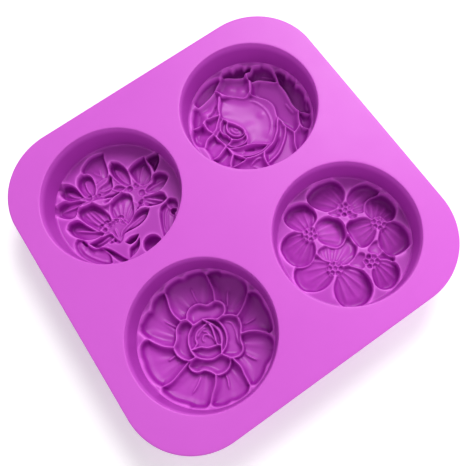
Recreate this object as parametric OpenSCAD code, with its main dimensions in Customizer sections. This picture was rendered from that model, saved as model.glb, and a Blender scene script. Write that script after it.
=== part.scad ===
// Silicone soap mould: a thin square deck that carries four round cups, each with a flower sunk in its floor.
// Z is up and the origin is at the middle of the plane that the cups stand on.

/* [Cups] */
// Radius of each cavity's mouth, at the deck's top face
mouth_r = 33; // [26:0.5:42]
// Slope of the cavity wall, measured inwards from mouth to floor
wall_draft = 2; // [0.5:0.25:4]
// Depth from the deck's top face to the flat ring round each flower
cavity_depth = 15.5; // [10:0.5:22]
// Thickness of the cup walls
wall_t = 2; // [1.2:0.1:3.5]
// Free gap between the outsides of neighbouring cups, at the deck
cup_gap = 7; // [3:0.5:14]

/* [Deck] */
// Thickness of the deck sheet
deck_t = 2; // [1.2:0.1:4]
// Deck left between a mouth and the deck's edge
deck_margin = 11; // [7:0.5:20]
// Radius of the deck's corners, in plan
corner_r = 32; // [12:1:38]

/* [Floors] */
// Depth of the deepest part of a flower below the flat ring
flower_depth = 7.5; // [5:0.25:9]
// Silicone left under the deepest part of a flower
base_t = 2.5; // [1.5:0.25:5]
// Chamfer round the foot of each cup
foot_chamfer = 1.2; // [0.4:0.1:2]
// Width of the ridges that part one petal from the next
ridge_w = 0.8; // [0.5:0.1:1.4]

/* [Hidden] */
$fn = 96;
eps = 0.01;

silicone = [0.82, 0.36, 0.82];
silicone_in_shade = [0.62, 0.2, 0.64];

floor_r = mouth_r - wall_draft;
floor_z = base_t + flower_depth;
deck_top_z = floor_z + cavity_depth;
deck_under_z = deck_top_z - deck_t;
pitch = 2 * (mouth_r + wall_t) + cup_gap;
deck_side = pitch + 2 * (mouth_r + deck_margin);

// The flowers are drawn for a floor of this radius and depth, and follow the real one.
drawn_floor_r = 31;
drawn_depth = 7.5;
bloom = floor_r / drawn_floor_r;
sink = flower_depth / drawn_depth;

// Cavity radius at a height, on the straight slope through floor and mouth.
function cavity_r(z) = floor_r + wall_draft * (z - floor_z) / cavity_depth;

// ---- Flower shapes, in the plane of a floor and centred on its cup ----

// Pointed leaf between two points: where two equal circles overlap.
module leaf(from, to, width) {
    span = norm(to - from);
    mid = (from + to) / 2;
    turn = atan2(to.y - from.y, to.x - from.x);
    r = (span * span / 4 + width * width / 4) / width;
    translate(mid) rotate(turn) intersection() {
        translate([0, width / 2 - r]) circle(r);
        translate([0, r - width / 2]) circle(r);
    }
}

// Rounded petal that widens from a narrow foot to a round end.
module round_petal(foot, tip, width) {
    span = norm(tip - foot);
    turn = atan2(tip.y - foot.y, tip.x - foot.x);
    r = min(width, span) / 2;
    neck = r * 0.3;
    translate(foot) rotate(turn) union() {
        translate([span - r, 0]) circle(r);
        polygon([[0, -neck], [0, neck], [span - r, r * 0.98], [span - r, -r * 0.98]]);
    }
}

// Slice of a ring between two angles, with half a ridge left along both of its straight sides.
module ring_petal(from_a, to_a, inner_r, outer_r) {
    half = (to_a - from_a) / 2;
    reach = 2 * outer_r;
    shift = ridge_w / 2 / bloom / sin(half);
    intersection() {
        difference() {
            circle(outer_r);
            circle(inner_r);
        }
        rotate(from_a + half) translate([shift, 0]) polygon([
            [0, 0], reach * [cos(half), -sin(half)], reach * [cos(half), sin(half)]
        ]);
    }
}

// Two round lobes joined by a waist.
module twin_petal(a, ra, b, rb) {
    turn = atan2(b.y - a.y, b.x - a.x);
    span = norm(b - a);
    translate(a) rotate(turn) union() {
        circle(ra);
        translate([span, 0]) circle(rb);
        polygon([[0, -ra * 0.8], [0, ra * 0.8], [span, rb * 0.8], [span, -rb * 0.8]]);
    }
}

// Ring of small round knobs, as the stamens of an open flower.
module stamens(centre, ring_r, knob_r, count) {
    for (i = [0 : count - 1])
        translate(centre + ring_r * [cos(360 * i / count), sin(360 * i / count)]) circle(knob_r);
}

// Turns a flat shape into the solid that is cut out of a floor, down to a depth given for the drawn flower.
module pocket(depth) {
    translate([0, 0, floor_z - depth * sink]) linear_extrude(depth * sink + eps) children();
}

// ---- The four flowers. Sizes are in millimetres on the drawn floor, angles in degrees from +X ----

// Leaf: [foot, tip, width, depth]
lily_leaves = [
    [[-9, -4], [-19, 11.5], 10, 6.5], [[-6, -7], [4, 8], 11, 6], [[-12, -5.5], [-28, 5], 8, 5.5],
    [[-9, -14.5], [10, -10.5], 4.5, 4], [[-11, -8], [-24, -5], 4, 4.5],
    [[-12.5, 12.5], [-27.5, 17.5], 6.5, 5], [[-13.5, 16], [-20.5, 26], 6.5, 4.5],
    [[-9, 13], [-7.5, 25.5], 8, 5.5], [[-8, 11], [3, 17], 6.5, 4],
    [[10, 7], [7.5, 22.5], 7, 5.5], [[13, 6], [23, 15], 8.5, 6], [[22, 5], [29.3, 12.5], 5, 4.5],
    [[14, 1.5], [27.5, -0.5], 6.5, 5], [[11, -2], [21, -10], 6.5, 5.5],
    [[2, 15], [-1, 30.5], 13, 3], [[-20, -2], [-19, -22], 13, 3.5], [[9, -26], [23, -11], 7.5, 3.5],
    [[-9, -17], [0, -18], 3, 3.2], [[-10, -24], [0, -19.5], 3.5, 3.6]
];
// Knob: [centre, radius, depth]
lily_knobs = [
    [[-13, -3], 0.9, 7], [[-10.5, -1.8], 0.9, 7], [[-3.5, -4.2], 1, 7], [[-3.6, -7], 0.9, 7],
    [[8, 5.8], 0.9, 6.8], [[12, 5], 0.9, 6.8], [[12, 0.3], 1, 6.8], [[-11, 13.2], 0.9, 6]
];
lily_drop = [[3, -25], 4.6, 7.2];

// Round petal: [foot, tip, width, depth]
blossom_petals = [
    [[-12, 11], [-27, 8.5], 15, 6.2], [[-10.5, 14], [-10, 28.5], 13.5, 5.6], [[-9, 11], [4.7, 6], 14, 6],
    [[-13, -7], [-29.5, -5], 14, 4.8], [[-10, -6], [4.4, -1.5], 13, 4.2], [[-10, -10], [-10, -29], 17.5, 6.4],
    [[9, 15], [6, 30.3], 15.5, 6], [[12.5, 12.5], [28.5, 14], 12.5, 4.4],
    [[18.5, -0.5], [31, 4], 14, 7.2], [[19, -4.5], [20, -19.5], 14.5, 7], [[15.5, -1], [4.8, -1.3], 10.5, 5],
    [[6, -17], [5.5, -30.3], 13.5, 5.8]
];
blossom_hearts = [[-11, 12], [-11, -7.5], [10, 12.5], [18.5, -1.5], [5, -14.5]];
heart_r = 2.3;
heart_knob_r = 0.8;
heart_depth = 6.6;

camellia_r = 30;
camellia_inner_r = 14;
// Angles of the ridges between the outer petals
camellia_ridges = [13, 59, 102, 141, 193, 240, 280, 328, 373];
camellia_outer_depth = 5.4;
// Twin petal: [first centre, radius, second centre, radius, depth]
camellia_twins = [
    [[2.5, 12], 4.3, [11.3, 8.7], 3.6, 6.2], [[13, -1.2], 4, [7.5, -10.2], 4.2, 6.4],
    [[-1.2, -13], 4, [-10.4, -7.6], 3.2, 6.2], [[-11.3, 2], 4, [-6.5, 9], 3.6, 6.4]
];
camellia_bud_r = 8.4;

rose_r = 30;
// Layer of ring petals: [ridge angles, inner radius, outer radius, depth]
rose_layers = [
    [[-32, 24, 62, 92, 128, 170, 204, 236, 282, 328], 23.6, rose_r, 4.2],
    [[-40, 50, 118, 165, 212, 262, 320], 16.4, 23, 5.4]
];
rose_bud = [[-1.5, -0.5], 15.4, 6.6];
rose_eye = [[-10, 2.5], 5.2, 7.5];

module lily_pockets() {
    for (l = lily_leaves) pocket(l[3]) leaf(bloom * l[0], bloom * l[1], bloom * l[2]);
    for (k = lily_knobs) pocket(k[2]) translate(bloom * k[0]) circle(bloom * k[1]);
    pocket(lily_drop[2]) translate(bloom * lily_drop[0]) circle(bloom * lily_drop[1]);
}

module blossom_pockets() {
    for (p = blossom_petals) pocket(p[3]) round_petal(bloom * p[0], bloom * p[1], bloom * p[2]);
    for (h = blossom_hearts) pocket(heart_depth) stamens(bloom * h, bloom * heart_r, bloom * heart_knob_r, 6);
}

module camellia_pockets() {
    for (i = [0 : len(camellia_ridges) - 2])
        pocket(camellia_outer_depth)
            ring_petal(camellia_ridges[i], camellia_ridges[i + 1], bloom * camellia_inner_r, bloom * camellia_r);
    for (t = camellia_twins) pocket(t[4]) twin_petal(bloom * t[0], bloom * t[1], bloom * t[2], bloom * t[3]);
    pocket(drawn_depth) difference() {
        circle(bloom * camellia_bud_r);
        for (r = [5.6, 2.6]) difference() {
            circle(bloom * r);
            circle(bloom * r - ridge_w);
        }
    }
}

module rose_pockets() {
    for (layer = rose_layers)
        for (i = [0 : len(layer[0]) - 2])
            pocket(layer[3]) ring_petal(layer[0][i], layer[0][i + 1], bloom * layer[1], bloom * layer[2]);
    pocket(rose_bud[2]) translate(bloom * rose_bud[0]) circle(bloom * rose_bud[1]);
    pocket(rose_eye[2]) translate(bloom * rose_eye[0]) difference() {
        circle(bloom * rose_eye[1]);
        circle(bloom * rose_eye[1] / 2 + ridge_w / 2);
    }
}

// ---- The moulding's regions ----

// Square sheet with round corners, and a tapered mouth through it over each cup.
module deck() {
    color(silicone) difference() {
        translate([0, 0, deck_under_z]) linear_extrude(deck_t) rounded_square(deck_side, corner_r);
        for (x = [-1, 1], y = [-1, 1]) translate([x * pitch / 2, y * pitch / 2, deck_under_z - eps])
            cylinder(h = deck_t + 2 * eps, r1 = cavity_r(deck_under_z - eps), r2 = cavity_r(deck_top_z + eps));
    }
}

module rounded_square(side, r) {
    inner = side / 2 - r;
    union() {
        square([side, side - 2 * r], center = true);
        square([side - 2 * r, side], center = true);
        for (x = [-inner, inner], y = [-inner, inner]) translate([x, y]) circle(r);
    }
}

// Tapered tube that hangs from the deck and ends on its floor.
module cup_wall() {
    color(silicone) rotate_extrude() polygon([
        [cavity_r(floor_z), floor_z], [cavity_r(floor_z) + wall_t, floor_z],
        [cavity_r(deck_under_z) + wall_t, deck_under_z], [cavity_r(deck_under_z), deck_under_z]
    ]);
}

// Thick round floor with a flat foot, which its flower is sunk into. Its side carries on the wall's slope.
module cup_floor() {
    color(silicone_in_shade) difference() {
        rotate_extrude() polygon([
            [0, 0], [cavity_r(0) + wall_t - foot_chamfer, 0], [cavity_r(foot_chamfer) + wall_t, foot_chamfer],
            [cavity_r(floor_z) + wall_t, floor_z], [0, floor_z]
        ]);
        children();
    }
}

module at_cup(x, y) {
    translate([x * pitch / 2, y * pitch / 2, 0]) children();
}

deck();
at_cup(-1, 1) cup_wall();  // lily_cup_wall
at_cup(1, 1) cup_wall();  // rose_cup_wall
at_cup(1, -1) cup_wall();  // blossom_cup_wall
at_cup(-1, -1) cup_wall();  // camellia_cup_wall
at_cup(-1, 1) cup_floor() lily_pockets();  // lily_floor
at_cup(1, 1) cup_floor() rose_pockets();  // rose_floor
at_cup(1, -1) cup_floor() blossom_pockets();  // blossom_floor
at_cup(-1, -1) cup_floor() camellia_pockets();  // camellia_floor
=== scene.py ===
"""Silicone soap mould: a soft deck with four round cups, each with a flower sunk into its floor.

The flowers are drawn in millimetres on a cup's floor, as outlines that are pressed into it one over another.
"""
from math import atan2, cos, hypot, pi, radians, sin

import bmesh
import bpy
import numpy as np
from mathutils import Matrix, Vector


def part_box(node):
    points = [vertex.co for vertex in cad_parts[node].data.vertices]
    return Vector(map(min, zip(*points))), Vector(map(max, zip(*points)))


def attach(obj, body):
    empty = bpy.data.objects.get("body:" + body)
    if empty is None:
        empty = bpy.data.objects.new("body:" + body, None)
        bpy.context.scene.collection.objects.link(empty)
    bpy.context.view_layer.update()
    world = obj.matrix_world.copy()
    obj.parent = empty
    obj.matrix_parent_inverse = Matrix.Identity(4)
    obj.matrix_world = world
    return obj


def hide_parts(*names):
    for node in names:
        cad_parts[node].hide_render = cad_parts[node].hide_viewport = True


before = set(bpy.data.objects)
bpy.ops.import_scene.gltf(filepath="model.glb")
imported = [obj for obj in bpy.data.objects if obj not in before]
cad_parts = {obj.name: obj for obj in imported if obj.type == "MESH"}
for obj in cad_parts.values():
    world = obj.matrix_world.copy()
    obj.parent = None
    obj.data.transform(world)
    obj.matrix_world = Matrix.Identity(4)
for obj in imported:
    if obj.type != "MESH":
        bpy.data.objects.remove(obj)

scene = bpy.context.scene
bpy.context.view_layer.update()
MM = 0.001

# ---- Sizes, in millimetres ----

CUPS = ("lily", "rose", "blossom", "camellia")


def box_mm(node):
    """Lowest and highest corner of a CAD node, in millimetres."""
    low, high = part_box(node)
    return np.array(low) / MM, np.array(high) / MM


deck_low, deck_high = box_mm("deck")
floor_low, floor_high = box_mm("rose_floor")
wall_low, wall_high = box_mm("rose_cup_wall")

WALL_T = 2.0
DECK_CORNER_R = 32.0
DECK_TOP = deck_high[2]
DECK_UNDER = deck_low[2]
DECK_HALF = deck_high[0]
FLOOR_TOP = floor_high[2]
CUP_PITCH = wall_low[0] + wall_high[0]
FLOOR_R = (floor_high[0] - floor_low[0]) / 2 - WALL_T
UNDER_MOUTH_R = (wall_high[0] - wall_low[0]) / 2 - WALL_T
DRAFT = (UNDER_MOUTH_R - FLOOR_R) / (DECK_UNDER - FLOOR_TOP)

EDGE_ROUND = 0.7
RIM_ROUND = 0.55
FLOOR_FILLET = 0.9
DECK_FILLET = 1.4
FOOT_ROUND = 1.2

# How pale the silicone is painted, 0 to 1: partly thin silicone looking paler, partly painted light. Painted
# shade darkens the cups' walls and floors against the deck and the relief's hollows, a painted highlight
# pales its ridges, and painted light lifts the floor below deep petals.
DECK_THIN_AND_LIT = 0.71
WALL_SHADED = 0.36
FLOOR_THIN_AND_SHADED = 0.43
RIDGE_THIN_AND_LIT_HOLLOW_SHADED = 0.56
PIT_THIN_AND_LIT = 0.08


def cavity_r(z):
    """Cavity radius at a height."""
    return FLOOR_R + DRAFT * (z - FLOOR_TOP)


def cup_middle(name):
    """Middle of a cup, in plan."""
    low, high = box_mm(name + "_floor")
    return (low + high)[:2] / 2


# ---- Lines and outlines ----

def smooth_line(points, closed=False, steps=7):
    """Points along a smooth curve through the given ones."""
    p = np.array(points, float)
    if closed:
        p = np.vstack([p[-1], p, p[:2]])
    else:
        p = np.vstack([2 * p[0] - p[1], p, 2 * p[-1] - p[-2]])
    knots = np.concatenate([[0], np.cumsum(np.linalg.norm(np.diff(p, axis=0), axis=1) ** 0.5)])
    t = np.linspace(0, 1, steps, endpoint=False)[:, None]
    pieces = []
    for i in range(1, len(p) - 2):
        span = knots[i + 1] - knots[i]
        leave = (p[i + 1] - p[i - 1]) / (knots[i + 1] - knots[i - 1]) * span
        arrive = (p[i + 2] - p[i]) / (knots[i + 2] - knots[i]) * span
        pieces.append((2 * t**3 - 3 * t**2 + 1) * p[i] + (t**3 - 2 * t**2 + t) * leave
                      + (3 * t**2 - 2 * t**3) * p[i + 1] + (t**3 - t**2) * arrive)
    if not closed:
        pieces.append(p[-2:-1])
    return np.vstack(pieces)


def outline(*arcs):
    """Closed outline. One arc closes on itself smoothly.

    Several arcs meet at corners. Each starts where the one before it ends, and doesn't repeat that point.
    """
    if len(arcs) == 1:
        return smooth_line(arcs[0], closed=True)
    starts = [arcs[-1][-1]] + [arc[-1] for arc in arcs[:-1]]
    return np.vstack([smooth_line([start, *arc])[:-1] for start, arc in zip(starts, arcs)])


def turns(count, shift=0):
    """Angles spread evenly round a full turn, moved on by a share of one step."""
    return [2 * pi * (k + shift) / count for k in range(count)]


def round_outline(middle, r, corners=8):
    """Closed round outline."""
    return outline([(middle[0] + r * cos(a), middle[1] + r * sin(a)) for a in turns(corners)])


def ease(x):
    """0 below 0, 1 above 1, and a soft step between."""
    x = np.clip(x, 0, 1)
    return x * x * (3 - 2 * x)


def along(line, x, y):
    """Distance from each spot to an open line, and how far along the line its nearest point is, 0 to 1."""
    a, ab = line[:-1], np.diff(line, axis=0)
    rx, ry = x[:, None] - a[:, 0], y[:, None] - a[:, 1]
    t = np.clip((rx * ab[:, 0] + ry * ab[:, 1]) / (ab**2).sum(axis=1), 0, 1)
    gap = np.hypot(rx - t * ab[:, 0], ry - t * ab[:, 1])
    best = gap.argmin(axis=1)
    rows = np.arange(len(x))
    return gap[rows, best], (best + t[rows, best]) / len(a)


def inside_by(line, x, y):
    """Distance in from a closed outline: positive inside it and negative outside."""
    ring = np.vstack([line, line[:1]])
    gap, _ = along(ring, x, y)
    ax, ay = ring[:-1, 0], ring[:-1, 1]
    bx, by = ring[1:, 0], ring[1:, 1]
    spans = (ay > y[:, None]) != (by > y[:, None])
    rise = np.where(by == ay, 1, by - ay)
    crossed = spans & (x[:, None] < ax + (y[:, None] - ay) * (bx - ax) / rise)
    return np.where(crossed.sum(axis=1) % 2 == 1, gap, -gap)


# ---- Pressing a flower into a floor ----

class Relief:
    """How deep each spot of a cup's floor lies below its flat ring."""

    CELLS = 284
    CREST_WIDTH = 0.42
    CURL_INSET = 1.5
    CURL_WIDTH = 0.9
    RIB_INSET = 1.6
    BEAD_LIP_WIDTH = 0.35
    BEAD_LIP = 0.4       # a share of the bead's depth
    BEAD_POWER = 0.6     # 1 gives a round bed, and less a flatter one
    # shares of a petal's length
    CURL_FROM = 0.5
    CURL_OVER = 0.3
    RIB_BACK = 0.25      # how far behind the foot the ribs fan out from
    RIB_START = 0.15
    RIB_END = 0.55
    RIB_FADE = 0.4

    def __init__(self, off_centre=(0, 0)):
        side = np.linspace(-1, 1, self.CELLS + 1)
        u, v = np.meshgrid(side, side)
        wide = np.abs(u) > np.abs(v)
        reach = np.where(wide, u, v)
        safe = np.where(reach == 0, 1, reach)
        angle = np.where(wide, pi / 4 * v / safe, pi / 2 - pi / 4 * u / safe)
        self.shape = u.shape
        self.floor_x = FLOOR_R * reach * np.cos(angle)
        self.floor_y = FLOOR_R * reach * np.sin(angle)
        self.x = (self.floor_x - off_centre[0]).ravel()
        self.y = (self.floor_y - off_centre[1]).ravel()
        self.depth = np.zeros(self.x.size)

    def near(self, line, reach=1.5):
        """Which spots lie within reach of a line's box."""
        low, high = line.min(axis=0) - reach, line.max(axis=0) + reach
        beside = (self.x > low[0]) & (self.x < high[0])
        return np.flatnonzero(beside & (self.y > low[1]) & (self.y < high[1]))

    def petal(self, line, foot, tip, at_foot, at_tip, soft, lip, crest, bow=2, hump=0, ribs=0, rib_depth=0,
              curl=0, edge=0.3):
        """Presses in one petal, over whatever was there.

        foot and tip are where it grows from and to, and at_foot and at_tip its depth there. It starts at
        lip of its depth beside its outline and reaches all of it soft millimetres in, by a curve of power
        bow: 1 gives a keel, 2 a bowl. hump raises its middle again, and curl sinks a band beside its tip.
        ribs sets how close together its ribs are. crest is the share of the depth that a thin ridge on its
        outline rises by, and edge is how far to each side of the outline the step down to it is spread.
        """
        at = self.near(line)
        x, y = self.x[at], self.y[at]
        inside = inside_by(line, x, y)
        axis = np.subtract(tip, foot)
        run = ((x - foot[0]) * axis[0] + (y - foot[1]) * axis[1]) / (axis @ axis)
        deep = at_foot + (at_tip - at_foot) * ease(run)
        q = np.clip(inside / soft, 0, 1)
        form = lip + (1 - lip) * (1 - (1 - q) ** bow) - hump * ease(q)
        pressed = deep * form
        if curl:
            band = np.exp(-(((inside - self.CURL_INSET) / self.CURL_WIDTH) ** 2))
            pressed += curl * band * ease((run - self.CURL_FROM) / self.CURL_OVER)
        if ribs:
            out_x = x - foot[0] + axis[0] * self.RIB_BACK
            out_y = y - foot[1] + axis[1] * self.RIB_BACK
            fan = np.arctan2(out_y, out_x) - atan2(axis[1], axis[0])
            held = ease(inside / self.RIB_INSET) * ease(run / self.RIB_START)
            held = held * (1 - ease((run - self.RIB_END) / self.RIB_FADE))
            pressed -= rib_depth * (0.5 + 0.5 * np.cos(ribs * fan)) ** 2 * held
        share = ease(0.5 + inside / (2 * edge))
        blend = self.depth[at] * (1 - share) + pressed * share
        self.depth[at] = blend * (1 - crest * np.exp(-((inside / self.CREST_WIDTH) ** 2)))

    def petals(self, petals, **form):
        """Presses in several petals of one form, each given by arcs, foot, tip and its depth at each."""
        for arcs, foot, tip, at_foot, at_tip in petals:
            self.petal(outline(*arcs), foot, tip, at_foot, at_tip, **form)

    def crease(self, points, rise, width=0.4, fade=0.25):
        """Raises a thin ridge along an open line, fading out at both ends. A negative rise sinks a groove."""
        line = smooth_line(points)
        at = self.near(line)
        gap, part = along(line, self.x[at], self.y[at])
        ends = ease(part / fade) * ease((1 - part) / fade)
        self.depth[at] -= rise * ends * np.exp(-((gap / width) ** 2))

    def swell(self, centre, r, rise):
        """Raises one broad soft bump."""
        gap = np.hypot(self.x - centre[0], self.y - centre[1])
        self.depth -= rise * np.exp(-((gap / r) ** 2))

    def knob(self, centre, r, sink):
        """Presses in one small round bead with a thin lip round it."""
        at = self.near(np.array([centre, centre]), reach=r + 1)
        gap = np.hypot(self.x[at] - centre[0], self.y[at] - centre[1])
        ball = np.sqrt(np.clip(1 - (gap / r) ** 2, 0, 1))
        lip = self.BEAD_LIP * sink * np.exp(-(((gap - r) / self.BEAD_LIP_WIDTH) ** 2))
        self.depth[at] += sink * ball**self.BEAD_POWER - lip

    def finished(self):
        """The depths as a grid, softened the way a poured mould is, and never above the ring."""
        return soften(np.maximum(self.depth, 0).reshape(self.shape))


# ---- Camellia: a ring of broad notched petals, a ring of twin ones and a bud ----

# ridges between the outer petals, from the middle outwards, going clockwise from the top
CAMELLIA_RIDGES = [
    [(-6, 13.5), (-7, 17.5), (-6.8, 21), (-5.5, 25.5), (-5, 28.3)],
    [(12, 12), (14.2, 16.5), (15, 20.5), (15.5, 24.2)], [(15.5, 0), (19, 1.2), (23, 3.5), (26.5, 6.2)],
    [(13, -7), (16.5, -8), (20, -10), (23, -13), (24, -14.8)],
    [(4.5, -14), (5.5, -19), (5, -22.5), (4.5, -28)], [(-5.5, -15.5), (-8, -19), (-11.5, -22), (-14, -24.5)],
    [(-12.5, -4), (-18.5, -5.8), (-23.5, -7), (-28, -6.5)],
    [(-14.5, 5), (-18, 8), (-20.5, 11.5), (-22.3, 14.8)],
]
# wavy outer edges, each between the outer ends of two ridges, without those ends
CAMELLIA_EDGES = [
    [(-3, 29.8), (0.5, 30.5), (3.5, 30.2), (5.8, 29), (8.5, 29.2), (12, 28.2), (14.5, 26.6)],
    [(18, 24.4), (20.5, 23.2), (22, 20.8), (24.5, 18.6), (27, 16), (28.3, 12.5), (28, 9)],
    [(28.5, 5.4), (30, 3.5), (30.4, 0.5), (29.8, -3), (29.5, -7), (28.3, -11), (26.5, -14)],
    [(24.3, -17.5), (23.5, -20.2), (21.5, -22.3), (18.5, -24.2), (15.2, -25.4), (12, -27.6), (9, -29),
     (6.5, -29.2)],
    [(2, -29.9), (-0.5, -30.4), (-3.5, -30.2), (-6, -29.2), (-9, -29), (-12, -27.7), (-13.7, -26)],
    [(-16.5, -25), (-19.5, -23.4), (-21.5, -21.3), (-23, -19), (-25.2, -16.5), (-27.2, -13.8), (-28.4, -11),
     (-28.9, -8.5)],
    [(-29.6, -3.5), (-30.4, 0.5), (-30.2, 4), (-29.4, 7), (-28.9, 10.2), (-27.4, 13), (-25, 14.6)],
    [(-23.4, 19.5), (-21.8, 22), (-19, 23.8), (-16.5, 24.8), (-14.5, 25), (-12.7, 26.8), (-11, 28.2),
     (-8.5, 29), (-6.3, 28.8)],
]
CAMELLIA_CREASES = [
    [(4.8, 16), (5.2, 19), (5.6, 21.5), (6.2, 24.5)], [(15, 6), (17, 9.5), (20, 13.5)],
    [(17, -4.3), (20, -4.6), (23.5, -4.7)], [(10, -15), (11.5, -18), (13.4, -21)],
    [(-2.2, -17.5), (-2.6, -20.5), (-4.5, -24.5)], [(-11, -11.6), (-15, -14.5), (-19.5, -16.6)],
    [(-15.7, 2.2), (-18, 2), (-20.5, 2)], [(-9, 12.3), (-10, 14), (-12.6, 18.8)],
]
CAMELLIA_TWINS = [
    # outline, foot, tip
    ([(-3, 9), (-2.3, 14.2), (1, 16.2), (5, 15.6), (8, 12.8), (11, 12.2), (13.6, 11), (14.6, 8.4), (13, 5.2),
      (9, 4.4), (5, 6)], (2, 4), (5, 14)),
    ([(8, 3.5), (12, 3.9), (15, 2.5), (16.5, 0), (16, -3.8), (14, -6.5), (12.2, -9), (11.2, -12.6),
      (9.4, -14.4), (6.6, -14.6), (3.5, -12.8), (0.5, -10), (4, -6), (7, -2)], (3, -3), (13, -8)),
    ([(3.5, -13.5), (1.2, -16.3), (-2, -17.1), (-5, -16), (-7, -13), (-9, -11), (-12, -10), (-13.6, -7.8),
      (-13.4, -5.4), (-9, -4.6), (-4, -7), (1, -9)], (-2, -3), (-6, -15)),
    ([(-9, -4), (-13, -3), (-15.3, 0.8), (-15.1, 4.6), (-12.2, 7.6), (-9.7, 11.6), (-6, 12.8), (-3, 11.4),
      (-2.5, 8), (-6, 5), (-8.5, 0)], (-3, 2), (-12, 8)),
]
# the three arcs of the round bud
BUD_TOP = [(-8.2, 3), (-6, 6.1), (-2.5, 8), (2.6, 8.5)]
BUD_RIGHT = [(6, 6.3), (8.2, 3), (8.5, -1), (7.4, -4.7), (5, -7.5), (1.5, -9.2)]
BUD_LEFT = [(-3, -8.9), (-6.5, -6.6), (-8.6, -3.6), (-9, -0.4)]
BUD_SPIRAL = [
    [(-0.7, 4.4), (1.2, 2.6), (2, -0.5), (2.1, -4.4)], [(-4, 2.7), (-2.2, 4), (0, 4.7), (2.4, 4.6)],
    [(-2, -1), (-2.2, 1), (-0.6, 2.3), (1, 1.2), (1.1, -1.2)], [(3.9, 5.8), (4.2, 3), (3.4, 0), (2.4, -4.6)],
]
# over 2, so that the foot of each outer petal bends in towards the middle
FOOT_BEND = 2.4


def camellia():
    flower = Relief(off_centre=(0.1, -0.3))
    for i, (ridge, edge) in enumerate(zip(CAMELLIA_RIDGES, CAMELLIA_EDGES)):
        following = CAMELLIA_RIDGES[(i + 1) % len(CAMELLIA_RIDGES)]
        rim = [ridge[-1], *edge, following[-1]]
        foot = np.add(ridge[0], following[0]) / 2
        inner = [tuple(np.add(ridge[0], following[0]) / FOOT_BEND), ridge[0]]
        line = outline(ridge[1:], rim[1:], following[-2::-1], inner)
        flower.petal(line, foot, np.mean(rim, axis=0), 6.6, 5.4, soft=5, lip=0.45, bow=3, ribs=15,
                     rib_depth=0.3, curl=0.3, crest=0.22)
    for points in CAMELLIA_CREASES:
        flower.crease(points, rise=1.1, width=0.45)
    for points, foot, tip in CAMELLIA_TWINS:
        flower.petal(outline(points), foot, tip, 5.6, 6.8, soft=3.2, lip=0.45, bow=2.5, crest=0.3)
    flower.crease([(10, 2.2), (12.6, 0), (12.4, -4), (10.8, -8), (10.2, -12.4)], rise=0.9)
    flower.crease([(-5, -15.3), (-8, -10.5), (-12, -8.4)], rise=0.5)
    fold = [(3.6, 6.2), (1, 5.6), (-2.5, 5), (-4.6, 3), (-5.4, 0.6), (-9, -0.4)]
    flower.petal(outline(BUD_TOP, BUD_RIGHT, BUD_LEFT), (0, 0), (0, 8), 6.2, 6.2, soft=3, lip=0.75, crest=0.4)
    flower.petal(outline(BUD_TOP, fold), (0, 2), (-4, 7), 6.2, 6, soft=2, lip=0.8, crest=0.25)
    fold = [(3.4, -6.6), (5.6, -3.4), (6.4, 0), (5.6, 3.4), (2.6, 8.5)]
    flower.petal(outline(BUD_RIGHT, fold), (0, 0), (8, 0), 6.1, 6.1, soft=2, lip=0.8, crest=0.25)
    fold = outline([(5.2, 3.4), (5.9, 0), (5, -3.4), (3.2, -6.2)],
                   [(2.2, -4.6), (3.2, -1), (4.1, 2.8), (3.7, 6.6)])
    flower.petal(fold, (2, 0), (6, 0), 6.6, 6.5, soft=1.6, lip=0.8, crest=0.25)
    fold = [(-5, -1.2), (-2, -3.5), (2.2, -5), (3.2, -6.4), (1.5, -9.2)]
    flower.petal(outline(fold, BUD_LEFT), (0, 0), (-5, -6), 7.4, 7, soft=2.4, lip=0.75, crest=0.34)
    for points in BUD_SPIRAL:
        flower.crease(points, rise=1.2, width=0.42, fade=0.2)
    return flower.finished()


# ---- Blossoms: five open flowers that overlap, with beaded hearts ----

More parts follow.
